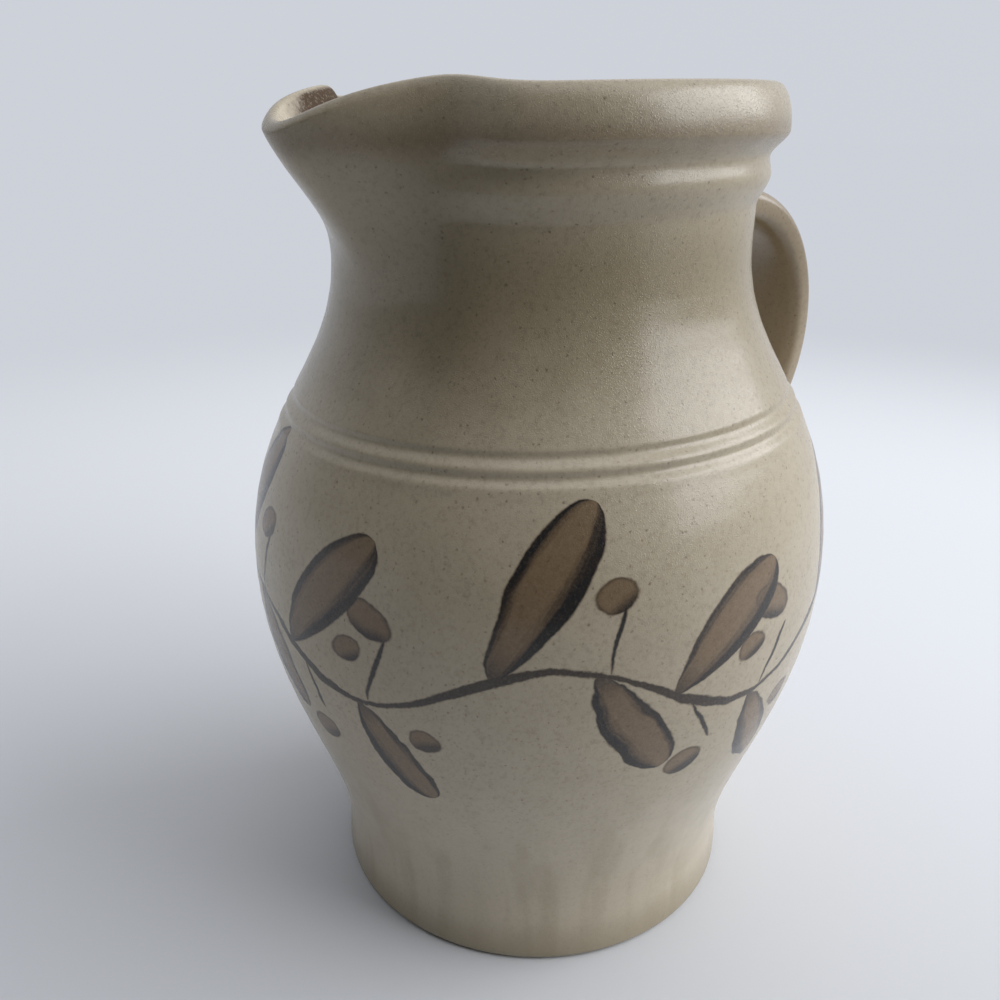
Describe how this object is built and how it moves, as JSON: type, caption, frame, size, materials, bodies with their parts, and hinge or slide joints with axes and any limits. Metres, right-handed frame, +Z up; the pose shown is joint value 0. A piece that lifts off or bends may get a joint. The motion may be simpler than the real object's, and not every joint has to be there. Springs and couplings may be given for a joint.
{
  "type": "stoneware pitcher",
  "caption": "Wheel-thrown stoneware pitcher with a rounded belly, collared neck, rolled rim, pulled pouring lip and an ear-shaped strap handle, for holding and pouring liquid.",
  "frame": {"origin": "middle of the flat base, on the throwing axis", "axes": "+Z up along the throwing axis, -X towards the pouring lip, +X towards the handle"},
  "size_m": [0.1494, 0.129, 0.1804],
  "materials": {
    "glazed_body": "satin grey-tan stoneware glaze with fine iron specks and a band of brushed leaves in brown and blue-black oxide",
    "glazed_handle": "the same satin grey-tan stoneware glaze, thinner and browner along the strap's edges",
    "luting_slip": "fired slip under the same glaze, a little darker where it pools"
  },
  "bodies": {
    "root": {"thrown_body": "glazed_body", "handle_strap": "glazed_handle", "upper_slip_joint": "luting_slip", "lower_slip_joint": "luting_slip"}
  },
  "joints": []
}
